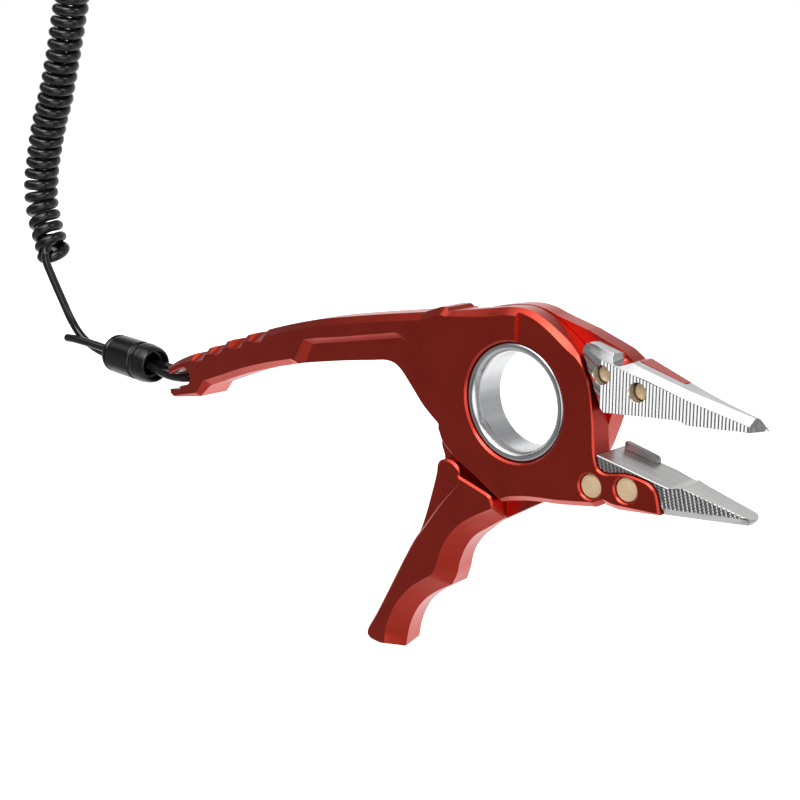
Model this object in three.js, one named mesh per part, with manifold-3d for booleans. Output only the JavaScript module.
// Fishing pliers with a hollow ring pivot, two riveted steel jaws, wire cutters and a coiled lanyard.
// Units are millimetres. +X points to the jaw tips, +Y runs along the pivot axis, +Z is up:
// the long handle runs to -X and the trigger hangs to -Z. "Near" is -Y and "far" is +Y.
// The origin is on the lever's flat far face, straight below the pivot ring.
// Everything is drawn about the pivot centre and moved at the end. The pliers are fully open.
import * as THREE from "three";
import { mergeVertices } from "three/addons/utils/BufferGeometryUtils.js";
import Module from "manifold-3d";

const wasm = await Module();
wasm.setup();

// ---- driving dimensions ----
const HALF = 6; // half of the frame thickness
const PAST = HALF + 1; // cutting tools reach this far from the middle plane
const PIVOT = new THREE.Vector3(0, -HALF, 19); // pivot centre in the part's frame
const SPLIT = 0.3; // each hub plate stops this far from the middle plane
const BORE_R = 11.4; // clear hole through the pivot sleeve
const SLEEVE_R = 12.6;
const LIP_R = 13.8; // turned lip of the sleeve
const SLEEVE_NEAR = -5.2;
const SLEEVE_FAR = 4.3;
const CLOSE_DEG = 16.5; // angle between the gripping faces when open
const GRIP_UP = 2.1; // slope of the upper gripping face, degrees
const GRIP_LOW = GRIP_UP - CLOSE_DEG;
const STOP_R = 20.4; // stop pin, distance and angle from the pivot
const STOP_DEG = 118;
const SPRING_DEG = 159.95; // angle of the spring's two ends
const RIVET_R = 2;
const RIVET_HEAD_R = 2.65;
const COUNTERBORE_R = 3;
const RIVET_BORE_GAP = 0.15; // in the arms
const JAW_BORE_GAP = 0.12; // in the jaws
// Rivet centres [x, z], and how far the shank reaches past the middle plane.
const LOW_RIVETS = [
  { name: "lower_jaw_rivet_rear", at: [22.3, -15.3], tail: 4.75 },
  { name: "lower_jaw_rivet_front", at: [31.4, -14.3], tail: 4.2 },
];
const UP_RIVETS = [
  { name: "upper_jaw_rivet_rear", at: [23.7, 9.8], tail: 4.65 },
  { name: "upper_jaw_rivet_front", at: [32.7, 7.1], tail: 4.05 },
];
const BLADE_REAR = 24.6; // cutter blades, along x
const BLADE_FRONT = 32.4;
const SCREW_AT = [(BLADE_REAR + BLADE_FRONT) / 2, -10.2];
const CORD_R = 1.25;
const COIL_R = 5.45;
const PIN_AT = [-121.8, 0]; // lanyard pin [x, y]
const PIN_R = 1.2;
const LOCK_AT = new THREE.Vector3(-148.8, 0, -11);
const LOCK_TILT = 4; // degrees
const LOCK_R = 5.85;
const LOCK_LENGTH = 20;
const FAR_LOCK_AT = new THREE.Vector3(-166.6, 0, 121.5);
const HOOK_X = FAR_LOCK_AT.x; // swivel and hook stand above the upper lock
const GATE_AT = [-171.9, 159.6]; // hinge of the hook gate [x, z]

// ---- points and outlines ----
const radians = THREE.MathUtils.degToRad;
const vector2 = ([x, y]) => new THREE.Vector2(x, y);
const polar = (r, deg) => [r * Math.cos(radians(deg)), r * Math.sin(radians(deg))];
const arc = (r, from, to, steps) =>
  Array.from({ length: steps + 1 }, (_, i) => polar(r, from + ((to - from) * i) / steps));
const spaced = (points, steps) =>
  new THREE.SplineCurve(points.map(vector2)).getSpacedPoints(steps).map((p) => [p.x, p.y]);

function turnXZ([x, z], deg) {
  const cos = Math.cos(radians(deg));
  const sin = Math.sin(radians(deg));
  return [x * cos - z * sin, x * sin + z * cos];
}

// Reflection in the closing plane of the jaws; a bevel width is carried along.
function mirrorJaw([x, z, width]) {
  const double = radians(GRIP_UP + GRIP_LOW);
  const cos = Math.cos(double);
  const sin = Math.sin(double);
  return [x * cos + z * sin, x * sin - z * cos, width];
}

// Point [x, z] at a height above a gripping face.
const onGrip = (x, deg, above = 0) => [x, x * Math.tan(radians(deg)) + above];

// Moves each vertex of a clockwise outline inwards by width(vertex), along the mean edge normal.
function inset(outline, width) {
  const count = outline.length;
  const normal = (from, to) => {
    const edge = new THREE.Vector2(to[0] - from[0], to[1] - from[1]).normalize();
    return new THREE.Vector2(edge.y, -edge.x);
  };
  return outline.map((point, i) => {
    const before = normal(outline[(i + count - 1) % count], point);
    const after = normal(point, outline[(i + 1) % count]);
    const mean = before.clone().add(after).normalize();
    const shift = width(point) / Math.max(0.6, mean.dot(before)); // limited at sharp corners
    return [point[0] + mean.x * shift, point[1] + mean.y * shift];
  });
}

// ---- solids ----
const join = (...solids) => solids.reduce((a, b) => a.add(b));
const cut = (body, ...tools) => tools.reduce((a, b) => a.subtract(b), body);

// Welds a geometry into a Manifold solid, turned inside out if its faces point inwards.
function solid(geometry) {
  for (const name of Object.keys(geometry.attributes)) {
    if (name !== "position") geometry.deleteAttribute(name);
  }
  const welded = mergeVertices(geometry, 1e-4);
  const all = welded.index.array;
  const kept = [];
  for (let i = 0; i < all.length; i += 3) {
    const [a, b, c] = [all[i], all[i + 1], all[i + 2]];
    if (a !== b && b !== c && a !== c) kept.push(a, b, c);
  }
  const triVerts = new Uint32Array(kept);
  const vertProperties = new Float32Array(welded.attributes.position.array);
  const build = () => new wasm.Manifold(new wasm.Mesh({ numProp: 3, vertProperties, triVerts }));
  const first = build();
  if (first.volume() >= 0) return first;
  for (let i = 0; i < triVerts.length; i += 3) {
    [triVerts[i + 1], triVerts[i + 2]] = [triVerts[i + 2], triVerts[i + 1]];
  }
  return build();
}

function geometryOf(body) {
  const mesh = body.getMesh();
  const geometry = new THREE.BufferGeometry();
  const positions = new Float32Array(mesh.vertProperties);
  geometry.setAttribute("position", new THREE.BufferAttribute(positions, 3));
  geometry.setIndex(new THREE.BufferAttribute(new Uint32Array(mesh.triVerts), 1));
  geometry.computeVertexNormals();
  return geometry;
}

function extruded(outline, depth) {
  const shape = new THREE.Shape(outline.map(vector2));
  return new THREE.ExtrudeGeometry(shape, { depth, bevelEnabled: false });
}
// Straight wall along Y from a side-view outline [x, z].
const prism = (outline, y0, y1) =>
  solid(extruded(outline, y1 - y0).rotateX(Math.PI / 2).translate(0, y1, 0));
// Straight wall along Z from a plan-view outline [x, y].
const prismZ = (outline, z0, z1) => solid(extruded(outline, z1 - z0).translate(0, 0, z0));
// Part of a flat ring about the pivot.
const sector = (inner, outer, from, to, steps, y0, y1) =>
  prism([...arc(inner, from, to, steps), ...arc(outer, to, from, steps)], y0, y1);

// Skin over rings of [x, y, z], near to far, of equal count and clockwise with x right and z up.
function skin(rings) {
  const count = rings[0].length;
  const index = [];
  for (let k = 0; k + 1 < rings.length; k++) {
    for (let i = 0; i < count; i++) {
      const a = k * count + i;
      const b = k * count + ((i + 1) % count);
      index.push(a, b, b + count, a, b + count, a + count);
    }
  }
  const cap = (k, flip) => {
    const outline = rings[k].map(([x, , z]) => new THREE.Vector2(x, z));
    for (const face of THREE.ShapeUtils.triangulateShape(outline, [])) {
      const [a, b, c] = face.map((i) => k * count + i);
      index.push(a, flip ? c : b, flip ? b : c);
    }
  };
  cap(0, false);
  cap(rings.length - 1, true);
  const geometry = new THREE.BufferGeometry();
  geometry.setAttribute("position", new THREE.Float32BufferAttribute(rings.flat(2), 3));
  geometry.setIndex(index);
  return solid(geometry);
}
// Skin over levels of [y, outline].
const loft = (levels) =>
  skin(levels.map(([y, outline]) => outline.map(([x, z]) => [x, y, z])));

// Plate from an outline [x, z, bevel width], with 45 degree bevels on the chosen faces.
function plate(outline, y0, y1, { near = true, far = true } = {}) {
  const steps = [0, 0.4, 1.8]; // depths at which the bevel is drawn
  const at = (depth) => inset(outline, (p) => Math.max(0, p[2] - depth));
  const nearLevels = steps.map((depth) => [y0 + depth, at(depth)]);
  const farLevels = steps.map((depth) => [y1 - depth, at(depth)]).reverse();
  return loft([
    ...(near ? nearLevels : [[y0, outline]]),
    ...(far ? farLevels : [[y1, outline]]),
  ]);
}

// Turned part about an axis along Y: closed profile of [r, y].
function turned(profile, segments, x = 0, z = 0) {
  const points = [...profile, profile[0]].map(vector2);
  return solid(new THREE.LatheGeometry(points, segments).translate(x, 0, z));
}
function discY([x, z], r, y0, y1, segments) {
  const geometry = new THREE.CylinderGeometry(r, r, y1 - y0, segments);
  return solid(geometry.translate(x, (y0 + y1) / 2, z));
}
function discZ([x, y], r, z0, z1, segments) {
  const geometry = new THREE.CylinderGeometry(r, r, z1 - z0, segments);
  return solid(geometry.rotateX(Math.PI / 2).translate(x, y, (z0 + z1) / 2));
}
// Round bar along a space curve of [x, y, z].
function bar(points, r, steps, segments) {
  const circle = Array.from({ length: segments }, (_, i) => {
    const angle = (2 * Math.PI * i) / segments;
    return new THREE.Vector2(r * Math.cos(angle), r * Math.sin(angle));
  });
  const stations = points.map((p) => new THREE.Vector3(...p));
  const extrudePath = new THREE.CatmullRomCurve3(stations, false, "centripetal");
  const options = { steps, extrudePath, bevelEnabled: false };
  return solid(new THREE.ExtrudeGeometry(new THREE.Shape(circle), options));
}

// ---- handle frame: long handle, near hub and lower jaw arm ----
// Edge of the jaw arm facing the other arm: [x, z, bevel width on the frame].
const ARM_EDGE = [
  [20.7, 6.3, 0.45], [22, -0.5, 0.45], [22.5, -5.2, 0.45], [23, -9.2, 0.4], [23.8, -11, 0.4],
  [25.4, -11.7, 0.4], [27.6, -11.4, 0.4], [30.6, -10.9, 0.4], [33.9, -11.1, 0.4],
  [36.8, -11.7, 0.4], [38.5, -13, 0.4],
];
// [x, z, bevel width], clockwise from the handle end along the top.
const HANDLE_OUTLINE = [
  [-126, -9.5, 0.5], [-121.8, -7, 1.2], [-117.6, -5.2, 1.6], [-109.4, -2.1, 1.7],
  [-101.1, 1, 1.7], [-93.1, 3.7, 1.7], [-85.3, 6.1, 1.7], [-77.7, 8.3, 1.7], [-70.4, 10.2, 1.7],
  [-63.3, 11.8, 1.7], [-53.2, 13.6, 1.7], [-43, 15.3, 1.7], [-30.6, 17.2, 1.7],
  [-28.4, 17.5, 1.7], [-23.2, 19.4, 1.7], [-21.1, 19.5, 1.7], [-20, 18.8, 1.7],
  [-8.8, 20.6, 1.7], [-2.1, 21.7, 1.7], [1.1, 21.8, 1.75], [4, 21.3, 1.8], [7.1, 20.1, 1.8],
  [10, 18.5, 1.8], [14.5, 15.5, 1.8], [17.3, 13.2, 1.2], [18.8, 10.6, 0.5],
  ...ARM_EDGE,
  [39.3, -15, 0.4], [39.9, -18.2, 0.4], [29, -19.4, 1.3], [27.4, -19.3, 1.3], [25.6, -18.6, 1],
  [23.2, -20, 1.3], [13.3, -21.5, 1.3], [8.1, -22, 1.3], [3.6, -22.6, 1.3], [-0.7, -23.5, 1.2],
  [-3.2, -24.1, 0.8], [-5.4, -22.8, 0.4], [-11.5, -19.2, 0.4], [-17.5, -15.8, 0.4],
  [-21.3, -12.7, 0.4], [-22.4, -10.2, 0.3], [-28.6, -5.4, 0.3], [-31.4, -2.4, 0.3],
  [-36.1, 2.5, 0.3], [-38.4, 3.8, 0.3], [-41, 4.1, 0.3], [-46, 3.4, 0.3], [-56, 1.9, 0.3],
  [-62.9, 0.7, 0.3], [-70.5, -0.7, 0.3], [-73.5, -1.4, 1.6], [-83.5, -3.9, 1.7],
  [-92.9, -6.7, 1.7], [-101, -9.6, 1.7], [-109, -12.6, 1.8], [-112.6, -16.1, 1.2],
  [-123.6, -17.8, 0.4], [-125.1, -17, 0.4], [-125.1, -15.7, 0.3], [-120.8, -15.1, 0.3],
  [-120.5, -14.1, 0.3], [-118.6, -13.9, 0.3], [-116.9, -13, 0.3], [-116, -11.4, 0.3],
  [-116.3, -9.8, 0.3], [-117.6, -8.7, 0.3], [-119.3, -8.7, 0.3], [-125.1, -11.3, 0.3],
];
// Pocket in the near face [x, z], at the face and at its floor.
const POCKET_RIM = [
  [-74.6, -3.6], [-68.9, 5.9], [-66.9, 6.4], [-54.9, 8.4], [-41.6, 10.8], [-35.4, 11.7],
  [-32.7, 10.4], [-28.9, 6.8], [-24.9, 2.3], [-24, 0], [-23.6, -4.1], [-22.3, -8.6],
  [-22.3, -14], [-40, -10], [-74.6, -8],
];
const POCKET_FLOOR = [
  [-72.1, -4], [-66.9, 4.8], [-66, 5], [-54.7, 7], [-41.4, 9.4], [-35.8, 10.2],
  [-33.3, 9.3], [-29.5, 5.9], [-25.3, 1.7], [-24.4, -0.2], [-24, -4.1], [-22.7, -8.6],
  [-22.7, -14], [-40, -10], [-72.1, -8],
];
const POCKET_DEPTH = 1.2;
// Sloping face over the near hub: corners [x, y, z], 1 mm deeper at the top than at the bottom.
const HUB_SLOPE = [
  [0.4, 1 - HALF, 30], [26, 1 - HALF, 30], [26, -HALF, -6], [0.4, -HALF, -6],
];
const THUMB_NOTCHES = [[-111.7, -3.1], [-104.5, -0.3], [-97, 2.4], [-89.6, 4.8]]; // [x, z]

// ---- lever: trigger, far hub and upper jaw arm ----
// [x, z, bevel width], clockwise.
const LEVER_HUB = [
  [-17.6, 18.6, 0.8], [-8.8, 20.7, 1.6], [-2.2, 21.8, 1.7], [1.2, 21.9, 1.7], [4.4, 21.4, 1.7],
  [7.8, 20.3, 1.7], [16.3, 18.2, 1.7], [25.4, 14.9, 1.7], [28.2, 12.8, 1.5], [30.7, 12.7, 1.5],
  [40.6, 9, 1],
  mirrorJaw([39.3, -15.2, 0.4]),
  ...ARM_EDGE.map(([x, z]) => mirrorJaw([x, z, 0.4])).reverse(),
  mirrorJaw([17.8, 12.2, 0.4]),
  [9, -21.5, 0.6], [2, -25.4, 0.8], [-6.8, -30.6, 0.8], [-9.6, -32.2, 0.8], [-20, -36, 0.4],
  [-27, -34, 0.4], [-25.2, -21, 0.4], [-25.4, -18, 0.4], [-26.4, -15.2, 0.4],
  [-25.2, -11.5, 0.4], [-25.6, -6, 0.4], [-26, 0, 0.4], [-25.4, 6, 0.4], [-23.2, 12, 0.4],
];
// Heel, back and top of the trigger [x, z].
const TRIGGER_BACK = [
  [-42.5, -70.4], [-45.3, -70.1], [-46.7, -69.2], [-46.6, -67.7], [-43.5, -62.6],
  [-37.5, -52], [-33.6, -45], [-29.9, -38.9], [-27.1, -35.4], [-21.6, -28.2],
  [-16.4, -22.4], [-16.5, -20.2], [-14.7, -20.8], [-10.3, -22.1], [-6.3, -23.5], [-5.6, -24.9],
];
// Finger side of the trigger [x, z]: upper and lower curve at the near face, ridge and far face.
const FINGER_NEAR = [
  [[-5.6, -26.2], [-11, -29.2], [-14.5, -31.5], [-17.1, -33.8], [-19.3, -36.6], [-21.1, -39.5],
    [-22.2, -42.3], [-22.9, -44.7], [-24.4, -47.3]],
  [[-24.4, -47.3], [-28, -49.7], [-31.3, -52.2], [-34.6, -55.7], [-37, -59], [-38.7, -62.5],
    [-40, -65.9], [-40.4, -69.8]],
];
const FINGER_RIDGE = [
  [[-4.7, -29.3], [-9.1, -32.3], [-14, -35.8], [-16.4, -38.8], [-17.8, -41.6], [-18.7, -44],
    [-19.3, -46.7], [-20.9, -49.9]],
  [[-20.9, -49.9], [-23.4, -51.4], [-26.8, -53.6], [-29.7, -56], [-32.1, -58.8], [-34, -62],
    [-35.4, -65.8], [-36.4, -70.6]],
];
const FINGER_FAR = [
  [[-7.9, -31.2], [-10.4, -32.7], [-14.3, -35.9], [-17, -38.4], [-19.2, -41.5], [-20.3, -44.3],
    [-20.9, -47.1], [-22.2, -50.6]],
  [[-22.2, -50.6], [-24.8, -52.3], [-28, -54.3], [-30.8, -56.4], [-33.5, -58.9], [-35.9, -62.6],
    [-37.3, -66.1], [-38.2, -70.4]],
];
const TRIGGER_BREAK = 0.45; // broken edge of the trigger's near face
// Lug beside the hub [x, z, bevel width].
const LUG = [
  [-23.4, -18.2, 0.4], [-20.8, -17.6, 0.4], [-18.2, -18.6, 0.4], [-16.6, -21.5, 0], [-18, -32, 0],
  [-30, -44, 0], [-32, -41.5, 0.4], [-29, -35.2, 0.4], [-24.8, -21.6, 0.4], [-24.4, -19.2, 0.4],
];

// Bores with head counterbores through an arm; side is -1 for the near arm, 1 for the far one.
function drillRivets(arm, rivets, side) {
  const disc = (at, r, inner, outer, segments) => {
    const span = side < 0 ? [-outer, -inner] : [inner, outer];
    return discY(at, r, ...span, segments);
  };
  const tools = rivets.flatMap(({ at }) => [
    disc(at, COUNTERBORE_R, 4, PAST, 28),
    disc(at, RIVET_R + RIVET_BORE_GAP, -1, 5, 20),
  ]);
  return cut(arm, ...tools);
}

function handleFrame() {
  let frame = plate(HANDLE_OUTLINE, -HALF, HALF);
  // The far half of the hub and arm is cleared for the lever and the lower jaw.
  const farHalf = [...arc(27, 132, 212, 16), [-12, -40], [60, -40], [60, 40], [-16, 40]];
  frame = cut(frame, prism(farHalf, -SPLIT, PAST));
  // Sweep of the lever from open to closed, with 0.6 mm of clearance.
  const swept = LEVER_HUB.map(([x, z]) => {
    const scale = 1 + 0.6 / Math.hypot(x, z);
    return [x * scale, z * scale];
  });
  for (let k = 0; k <= 3; k++) {
    const turn = -(k * CLOSE_DEG) / 3;
    frame = cut(frame, prism(swept.map((p) => turnXZ(p, turn)), -SPLIT, PAST));
  }
  frame = cut(
    frame,
    loft([[-PAST, POCKET_RIM], [-HALF, POCKET_RIM], [-HALF + POCKET_DEPTH, POCKET_FLOOR]]),
    skin([HUB_SLOPE.map(([x, , z]) => [x, -PAST, z]), HUB_SLOPE]),
    // Ring seat and bore, spring groove, spring end hole, stop pin hole.
    turned([[0, -PAST], [14.15, -PAST], [14.15, -3.8], [12.8, -3.8], [12.8, 1], [0, 1]], 40),
    turned([[15.6, -3.2], [18.6, -3.2], [18.6, 1], [15.6, 1]], 32),
    discY(polar(16.2, SPRING_DEG), 0.75, -4.6, 0, 12),
    discY(polar(STOP_R, STOP_DEG), 1.05, -4.5, 0, 16),
  );
  frame = drillRivets(frame, LOW_RIVETS, -1);
  for (const [x, z] of THUMB_NOTCHES) {
    const notch = [[x - 1.2, z + 3.2], [x - 1.2, z - 0.35], [x + 4.3, z + 1.35], [x + 5.6, z + 4.5]];
    frame = cut(frame, prism(notch, -PAST, PAST));
  }
  // Pin hole through both prongs of the lanyard end.
  return cut(frame, discZ(PIN_AT, PIN_R + 0.15, -19, -8.1, 16));
}

function trigger() {
  const finger = ([upper, lower]) => [...spaced(upper, 9), ...spaced(lower, 9).slice(1)];
  const near = finger(FINGER_NEAR);
  const ridge = finger(FINGER_RIDGE);
  const far = finger(FINGER_FAR);
  const belowNear = near.map(([x, z], i) => [
    x + (ridge[i][0] - x) * 0.1,
    z + (ridge[i][1] - z) * 0.1,
  ]);
  const farEdge = far.map(([x, z]) => [x - 0.6, z + 0.4]);
  // Only the back is drawn in; the finger side has its own curve at each level.
  const ring = (fingerSide, shrink) => {
    const back = TRIGGER_BACK.map(([x, z]) => [x, z, shrink]);
    return inset([...back, ...fingerSide.map(([x, z]) => [x, z, 0])], (p) => p[2]);
  };
  return loft([
    [-HALF, ring(near, TRIGGER_BREAK)],
    [-HALF + TRIGGER_BREAK, ring(belowNear, 0)],
    [-2, ring(ridge, 0)],
    [5.2, ring(far, 0)],
    [HALF, ring(farEdge, 0.6)],
  ]);
}

function leverFrame() {
  const body = join(
    plate(LEVER_HUB, SPLIT, HALF, { near: false }),
    trigger(),
    plate(LUG, -4.1, 5, { far: false }),
  );
  // Slot for a part that travels through the closing angle, with spare degrees at both ends.
  const travelSlot = (inner, outer, deg, spare, depth) =>
    sector(inner, outer, deg - spare, deg + CLOSE_DEG + spare, 8, 0, depth);
  const lever = cut(
    body,
    // Stepped bore for the sleeve and its retaining ring.
    turned([[0, -PAST], [13.6, -PAST], [13.6, 3.2], [15, 3.2], [15, PAST], [0, PAST]], 40),
    travelSlot(19, 21.8, STOP_DEG, 4, 3),
    travelSlot(14.9, 17.6, SPRING_DEG, 5, 2.4),
  );
  return drillRivets(lever, UP_RIVETS, 1);
}

// ---- pivot ----
const pivotSleeve = () => turned([
  [BORE_R, -4.4], [BORE_R + 0.5, -5], [12.3, SLEEVE_NEAR], [13.2, SLEEVE_NEAR], [13.7, -5],
  [LIP_R, -4.6], [LIP_R, -3.95], [SLEEVE_R, -3.95], [SLEEVE_R, 3.3], [12.1, 3.3], [12.1, 4],
  [SLEEVE_R, 4], [12.4, SLEEVE_FAR], [BORE_R + 0.4, SLEEVE_FAR], [BORE_R, SLEEVE_FAR - 0.5],
], 40);

// Plain ring of rectangular section about the pivot.
const plainRing = (inner, outer, y0, y1) =>
  turned([[inner, y0], [outer, y0], [outer, y1], [inner, y1]], 32);

function returnSpring() {
  const turns = 1.6;
  const steps = 40;
  const end = radians(SPRING_DEG);
  const start = end - turns * 2 * Math.PI;
  const points = [];
  for (let i = 0; i <= steps; i++) {
    const t = i / steps;
    const angle = start + (end - start) * t;
    // The last 7% of the coil draws in by 0.75 mm.
    const r = t > 0.93 ? 17 - 0.75 * ((t - 0.93) / 0.07) : 17;
    points.push([r * Math.cos(angle), -2.5 + 1.45 * t, r * Math.sin(angle)]);
  }
  // The end turns along the axis into the lever.
  const [x, y, z] = points[steps];
  points.push([x * 0.997, y + 0.9, z * 0.997], [x * 0.997, 1.6, z * 0.997]);
  return bar(points, 0.42, 48, 6);
}

function stopPin() {
  const at = polar(STOP_R, STOP_DEG);
  return join(discY(at, 0.9, -4.2, 2.6, 16), discY(at, 0.7, 2.5, 2.8, 16));
}

// ---- steel jaws ----
// Back end of both jaws, drawn for the upper one: [x, z, upper bevel width, lower bevel width].
const JAW_BACK = [
  [19.4, 12.8, 0.3, 0.3], [18.5, 14.8, 1, 1], [19, 15.9, 1.4, 1.2], [20.2, 16.5, 1.6, 1.4],
  [25.7, 14.7, 1.6, 1.4], [26, 13.2, 1.4, 1.4], [27.4, 12.4, 1.4, 1.4], [30, 12.9, 1.5, 1.4],
];
// [x, z, bevel width], clockwise.
const UP_JAW = [
  ...JAW_BACK,
  [57.4, 5, 1.4], [59.9, 3.3, 0.4], [...onGrip(60, GRIP_UP), 0.1], [...onGrip(44, GRIP_UP), 0.1],
  [43, 2, 0.1], [41.8, 2.4, 0.1], [29.4, 1.7, 0.1], [24.1, 1.35, 0.1],
];
const LOW_JAW = [
  [24.1, -8.3, 0.1], [28.9, -9.4, 0.1], [41.3, -12.2, 0.1], [...onGrip(44.4, GRIP_LOW), 0.1],
  [...onGrip(60, GRIP_LOW), 0.1], [59.8, -16.3, 0.4], [57.3, -17.1, 1.4],
  ...JAW_BACK.map(([x, z, , width]) => mirrorJaw([x, z, width])).reverse(),
];
// Plan of the lower jaw [x, y]; the upper one is its mirror image in y.
const JAW_PLAN = [
  [8, -5.4], [56.6, -5.4], [59.3, -4], [60.3, -2.4], [60.3, 0.4], [59, 1.8], [44, 3.2],
  [23, 4.6], [8, 4.6],
];
const ARM_GAP = 0.25; // around an arm where a jaw is cut away for it

function jawBlank({ outline, near, far, plan, armRoom, rivets }) {
  const jaw = plate(outline, near, far).intersect(prismZ(plan, -40, 40));
  const bores = rivets.map(({ at }) => discY(at, RIVET_R + JAW_BORE_GAP, -PAST, PAST, 20));
  return cut(jaw, armRoom, ...bores);
}

// Blade-length rectangle between two heights above a gripping face.
const bladeSection = (deg, from, to, spare = 0) => [
  onGrip(BLADE_REAR - spare, deg, from), onGrip(BLADE_FRONT + spare, deg, from),
  onGrip(BLADE_FRONT + spare, deg, to), onGrip(BLADE_REAR - spare, deg, to),
];

// The lower jaw sits behind the near arm.
function lowerJaw() {
  const blank = jawBlank({
    outline: LOW_JAW,
    near: -5.4,
    far: 5.2,
    plan: JAW_PLAN,
    armRoom: prism(inset(HANDLE_OUTLINE, () => -ARM_GAP), -PAST, -0.05),
    rivets: LOW_RIVETS,
  });
  const bladeSeat = prism(bladeSection(GRIP_LOW, 1, -4.3, 0.15), 2.45, 6);
  return cut(blank, bladeSeat, discY(SCREW_AT, 0.75, -0.5, 3, 12));
}

// The upper jaw sits in front of the far arm.
function upperJaw() {
  const blank = jawBlank({
    outline: UP_JAW,
    near: -5.2,
    far: 5.4,
    plan: JAW_PLAN.map(([x, y]) => [x, -y]),
    armRoom: prism(inset(LEVER_HUB, () => -ARM_GAP), 0.05, PAST),
    rivets: UP_RIVETS,
  });
  return cut(blank, prism(bladeSection(GRIP_UP, -1, 1.75, 0.15), 2.2, 4.2));
}

// Rivet with its head in the near arm (side -1) or the far arm (side 1).
function rivet({ at, tail }, side) {
  const nearProfile = [
    [0, -5.75], [2.5, -5.75], [RIVET_HEAD_R, -5.6], [RIVET_HEAD_R, -4.15], [RIVET_R, -4.15],
    [RIVET_R, tail - 0.35], [1.55, tail + 0.12], [0.85, tail + 0.38], [0, tail + 0.45],
  ];
  const profile = side < 0 ? nearProfile : nearProfile.map(([r, y]) => [r, -y]).reverse();
  return turned(profile, 24, ...at);
}

// The cutting edge lies just below the gripping face and falls away towards the far side.
function lowerBlade() {
  const edges = [[2.55, -0.02], [2.75, -0.02], [4.1, -0.35]]; // [y, edge height]
  const blade = loft(edges.map(([y, edge]) => [y, [
    onGrip(BLADE_REAR, GRIP_LOW, edge), onGrip(BLADE_FRONT - 0.5, GRIP_LOW, edge),
    onGrip(BLADE_FRONT, GRIP_LOW, -0.6), onGrip(BLADE_FRONT, GRIP_LOW, -4.15),
    onGrip(BLADE_REAR, GRIP_LOW, -4.15),
  ]]));
  return cut(blade, discY(SCREW_AT, 0.75, 2, 5, 12), discY(SCREW_AT, 1.5, 3.5, 5, 16));
}
const upperBlade = () => prism(bladeSection(GRIP_UP, 0.04, 1.6), 2.35, 4.05);

function cutterScrew() {
  const [x, z] = SCREW_AT;
  const slot = [[x - 0.4, z + 0.7], [x + 0.4, z + 0.7], [x + 0.4, z - 0.7], [x - 0.4, z - 0.7]];
  const head = cut(discY(SCREW_AT, 1.35, 3.58, 4.15, 16), prism(slot, 3.85, 5));
  return join(discY(SCREW_AT, 0.65, -0.2, 3.6, 12), head);
}

// ---- lanyard ----
// Cord centre lines [x, y, z].
const HANDLE_LOOP = [
  [-144.5, 1.5, -11.3], [-139, 1.6, -11.6], [-133, 2.3, -12.2], [-127, 2.75, -12.9],
  [-122.4, 2.7, -12.5], [-119.9, 1.9, -12.1], [-119.15, 0, -12], [-119.9, -1.9, -12.1],
  [-122.4, -2.7, -12.5], [-127, -2.75, -12.9], [-133, -2.3, -12.6], [-139, -1.6, -11.8],
  [-144.5, -1.5, -11.3],
];
const CORD_TAIL = [
  [-182.4, -2.5, -8.2], [-176, -2.6, -8], [-168, -2.2, -8.5], [-161.5, -1.7, -9.2],
  [-153, -1.5, -9.9],
];
const LEAD_CORD = [
  [-193.2, 3.2, 15.4], [-191.6, 2.6, 13.2], [-189.3, 1.9, 10.4], [-186.9, 1.2, 6],
  [-184, 0.7, 0.9], [-180.6, 0.5, -4.3], [-176.8, 0.6, -7.8], [-171.5, 1, -10.4],
  [-164, 1.4, -12], [-153, 1.5, -11.9],
];
const COIL = [
  [-189.6, 0, 18.3], [-190.6, 0, 21.5], [-192.1, 0, 25], [-193.4, 0, 29.4], [-194.1, 0, 33.4],
  [-194.1, 0, 37.3], [-193.4, 0, 41.4], [-192.2, 0, 45.7], [-189.9, 0, 52.4], [-186.8, 0, 59.4],
  [-183.4, 0, 66], [-180.5, 0, 72.8], [-177.8, 0, 79.6], [-175.3, 0, 86.6], [-173, 0, 93],
  [-170.8, 0, 99.4],
];
const UPPER_CORD = [
  [-169.3, 1.2, 101.4], [-168, 1.4, 105.5], [-167.2, 1.5, 110], [-166.6, 1.5, 117],
];
const CLIP_LOOP = [
  [-168.1, 0, 127], [-168.3, 0, 133], [-169.2, 0, 138], [-168.9, 0, 141], [-166.6, 0, 142.4],
  [-164.3, 0, 141], [-164, 0, 138], [-164.9, 0, 133], [-165.1, 0, 127],
];
const HOOK_BOW = [
  [-164, 0, 152.6], [-162.2, 0, 154.6], [-161.3, 0, 158], [-161.1, 0, 166], [-161.4, 0, 176],
  [-163, 0, 179.6], [-166.6, 0, 181], [-170.2, 0, 179.6], [-171.8, 0, 176.4], [-171.9, 0, 173.6],
];
const HOOK_STUB = [
  [-169.2, 0, 152.6], [-170.8, 0, 154.2], [-171.7, 0, 156.6], [-171.9, 0, 158.2],
];

const cord = (points, steps) => bar(points, CORD_R, steps, 8);

// Barrel and cap of a cord lock, turned about Y; the pieces are laid along X when placed.
function lockBarrel() {
  const end = LOCK_LENGTH / 2;
  const groove = LOCK_R - 0.45;
  return turned([
    [3.6, -end], [4.3, -end], [LOCK_R, 1.7 - end], [LOCK_R, 2.6 - end], [groove, 2.9 - end],
    [groove, 3.4 - end], [LOCK_R, 3.7 - end], [LOCK_R, 4.3], [LOCK_R - 0.5, 4.6], [3.6, 4.6],
  ], 20);
}
const lockCap = () => turned([
  [3.6, 4.75], [LOCK_R - 0.6, 4.75], [LOCK_R - 0.6, 5.3], [LOCK_R, 5.6], [LOCK_R, 7.6],
  [4.3, LOCK_LENGTH / 2], [3.6, LOCK_LENGTH / 2],
], 20);

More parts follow.
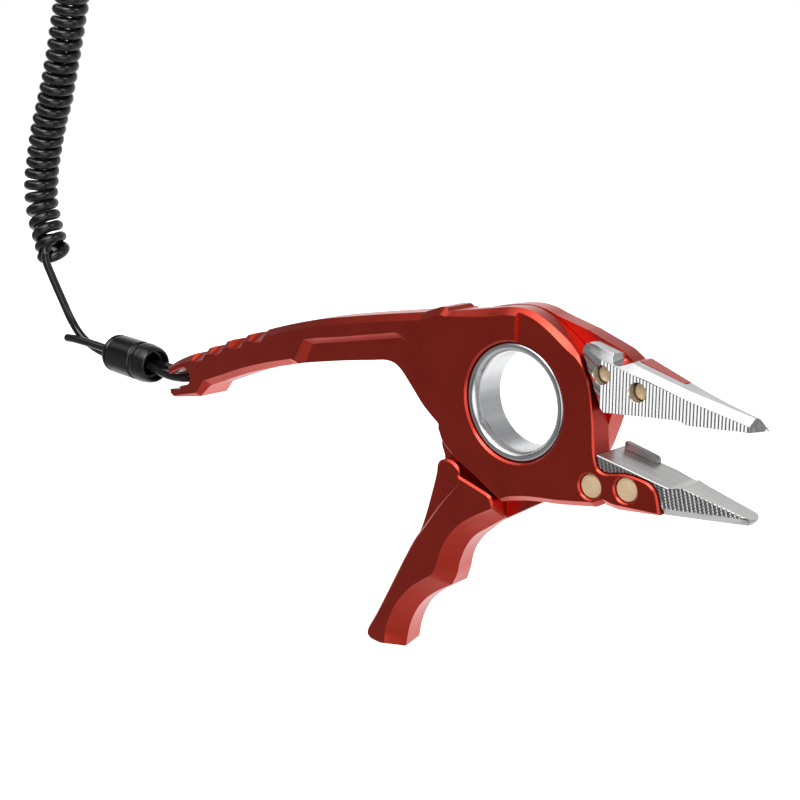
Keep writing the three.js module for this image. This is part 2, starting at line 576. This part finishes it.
// A ring standing across the loop, with a stem and a button head inside the hook's collar.
function swivelEye() {
  const ring = new THREE.TorusGeometry(3.4, 0.9, 8, 24);
  ring.rotateY(Math.PI / 2).translate(HOOK_X, 0, 143.5);
  const stem = discZ([HOOK_X, 0], 1.1, 147.2, 153, 12);
  return join(solid(ring), stem, discZ([HOOK_X, 0], 1.9, 152, 153.4, 16));
}

function snapHook() {
  const upright = (part, z) => part.rotate([90, 0, 0]).translate([HOOK_X, 0, z]);
  const collar = turned([
    [1.35, -2.6], [3.1, -2.6], [3.4, -2.2], [3.4, 1], [2.2, 1.2], [2.2, -1], [1.35, -1],
  ], 20);
  const wall = turned([[2.2, -0.5], [3.3, -0.5], [3.3, 2], [2.2, 2]], 20);
  const body = join(
    upright(collar, 152.2),
    discZ([HOOK_X, 0], 3.2, 153.9, 155.4, 20),
    upright(wall, 153.2),
    bar(HOOK_BOW, 1.5, 26, 8),
    bar(HOOK_STUB, 1.5, 6, 8),
    cut(discY(GATE_AT, 1.9, -0.6, 0.6, 16), discY(GATE_AT, 0.62, -2, 2, 12)),
  );
  // Room for the swivel's button head, and for the gate's cheeks on both sides of the lug.
  return cut(
    body,
    discZ([HOOK_X, 0], 2.15, 151.3, 153.8, 16),
    discY(GATE_AT, 2.1, -3, -0.68, 16),
    discY(GATE_AT, 2.1, 0.68, 3, 16),
  );
}

function hookGate() {
  const arm = [[-173.2, 161.9], [-170.6, 161.9], [-170.9, 173.1], [-172.7, 173.1]];
  const cheek = [[-173.2, 160.2], [-170.6, 160.2], [-170.6, 162], [-173.2, 162]];
  const gate = join(
    discY(GATE_AT, 1.7, -1.9, -0.8, 16),
    discY(GATE_AT, 1.7, 0.8, 1.9, 16),
    prism(arm, -1.9, 1.9),
    prism(cheek, -1.9, -0.8),
    prism(cheek, 0.8, 1.9),
  );
  return cut(gate, discY(GATE_AT, 0.62, -3, 3, 12));
}

// ---- assembly ----
const RED = { color: 0x8e1c12, roughness: 0.35, metalness: 0.85 };
const STEEL = { color: 0xb9bcbe, roughness: 0.28, metalness: 1 };
const BRASS = { color: 0xc9a565, roughness: 0.3, metalness: 1 };
const BLACK = { color: 0x0c0c0e, roughness: 0.35, metalness: 0 };

const group = new THREE.Group();
group.position.copy(PIVOT);

function add(name, body, look, parent = group) {
  const mesh = new THREE.Mesh(geometryOf(body), new THREE.MeshStandardMaterial(look));
  mesh.name = name;
  parent.add(mesh);
  return mesh;
}

function addLock(name, position, turnY) {
  const lock = new THREE.Group();
  lock.position.copy(position);
  lock.rotation.y = turnY;
  group.add(lock);
  add(`${name}_barrel`, lockBarrel(), BLACK, lock).rotation.z = -Math.PI / 2;
  add(`${name}_cap`, lockCap(), BLACK, lock).rotation.z = -Math.PI / 2;
}

add("handle_frame", handleFrame(), RED);
add("lever_frame", leverFrame(), RED);

add("pivot_sleeve", pivotSleeve(), STEEL);
add("pivot_bushing", plainRing(12.68, 13.5, 0.35, 3.05), BRASS);
add("thrust_washer", plainRing(12.9, 15.1, -0.22, 0.22), BRASS);
add("pivot_retaining_ring", sector(12.25, 14.6, 8, 352, 28, 3.37, 3.92), STEEL);
add("return_spring", returnSpring(), STEEL);
add("opening_stop_pin", stopPin(), STEEL);

add("lower_jaw", lowerJaw(), STEEL);
add("upper_jaw", upperJaw(), STEEL);
for (const item of LOW_RIVETS) add(item.name, rivet(item, -1), BRASS);
for (const item of UP_RIVETS) add(item.name, rivet(item, 1), BRASS);
add("lower_cutter_blade", lowerBlade(), STEEL);
add("upper_cutter_blade", upperBlade(), STEEL);
add("cutter_screw", cutterScrew(), STEEL);

add("lanyard_pin", discZ(PIN_AT, PIN_R, -17.4, -8.25, 20), STEEL);
add("handle_loop", cord(HANDLE_LOOP, 34), BLACK);
addLock("cord_lock", LOCK_AT, radians(LOCK_TILT));
add("cord_tail", cord(CORD_TAIL, 10), BLACK);
add("lead_cord", cord(LEAD_CORD, 26), BLACK);
add("coil_cord", bar(COIL, COIL_R, 30, 12), BLACK);
add("upper_cord", cord(UPPER_CORD, 8), BLACK);
addLock("clip_lock", FAR_LOCK_AT, -Math.PI / 2);
add("clip_loop", cord(CLIP_LOOP, 24), BLACK);
add("swivel_eye", swivelEye(), STEEL);
add("snap_hook", snapHook(), STEEL);
add("hook_gate", hookGate(), STEEL);
add("gate_pin", discY(GATE_AT, 0.5, -2.1, 2.1, 12), STEEL);

const pliers = new THREE.Group();
pliers.add(group);
export default pliers;
